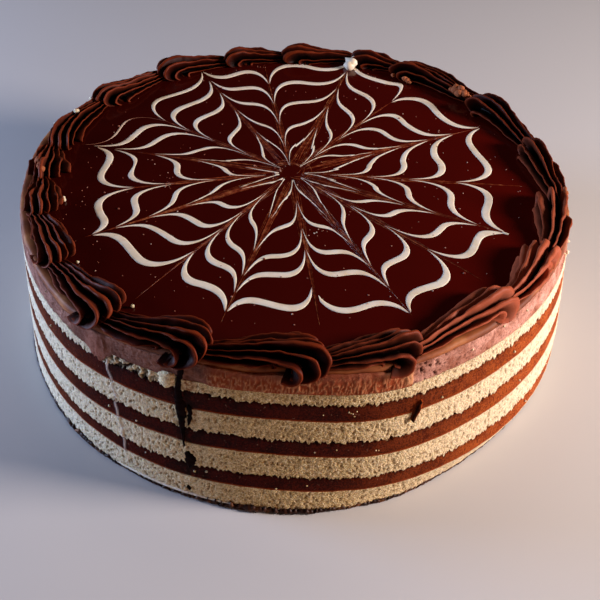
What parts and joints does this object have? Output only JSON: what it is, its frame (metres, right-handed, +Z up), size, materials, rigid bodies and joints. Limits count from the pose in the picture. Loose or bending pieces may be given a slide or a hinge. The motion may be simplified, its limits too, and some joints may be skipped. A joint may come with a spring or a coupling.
{
  "type": "triple chocolate mousse cake",
  "caption": "Whole round mousse cake with bare striped sides of pale sponge and chocolate mousse, a dark glazed top with a feathered cream web, and a piped shell border.",
  "frame": {"origin": "middle of the flat underside, on the surface the cake stands on", "axes": "+Z up; -Y towards the picture's camera, +X to its right"},
  "size_m": [0.2498, 0.2486, 0.0846],
  "materials": {
    "base_chocolate": "set dark chocolate, satin",
    "sponge": "open cut sponge crumb, matte",
    "dark_mousse": "smooth dark chocolate mousse, satin",
    "milk_mousse": "aerated milk chocolate mousse, matte",
    "glaze": "poured chocolate glaze, glossy",
    "ganache": "piped chocolate ganache, satin",
    "cream": "white chocolate line, satin"
  },
  "bodies": {
    "root": {"foot": "base_chocolate", "sponge_1": "sponge", "mousse_1": "dark_mousse", "sponge_2": "sponge", "mousse_2": "dark_mousse", "sponge_3": "sponge", "mousse_3": "dark_mousse", "sponge_4": "sponge", "mousse_4": "milk_mousse", "glaze": "glaze", "shell_01": "ganache", "shell_02": "ganache", "shell_03": "ganache", "shell_04": "ganache", "shell_05": "ganache", "shell_06": "ganache", "shell_07": "ganache", "shell_08": "ganache", "shell_09": "ganache", "shell_10": "ganache", "shell_11": "ganache", "shell_12": "ganache", "shell_13": "ganache", "shell_14": "ganache", "shell_15": "ganache", "shell_16": "ganache", "shell_17": "ganache", "shell_18": "ganache", "shell_19": "ganache"}
  },
  "joints": []
}
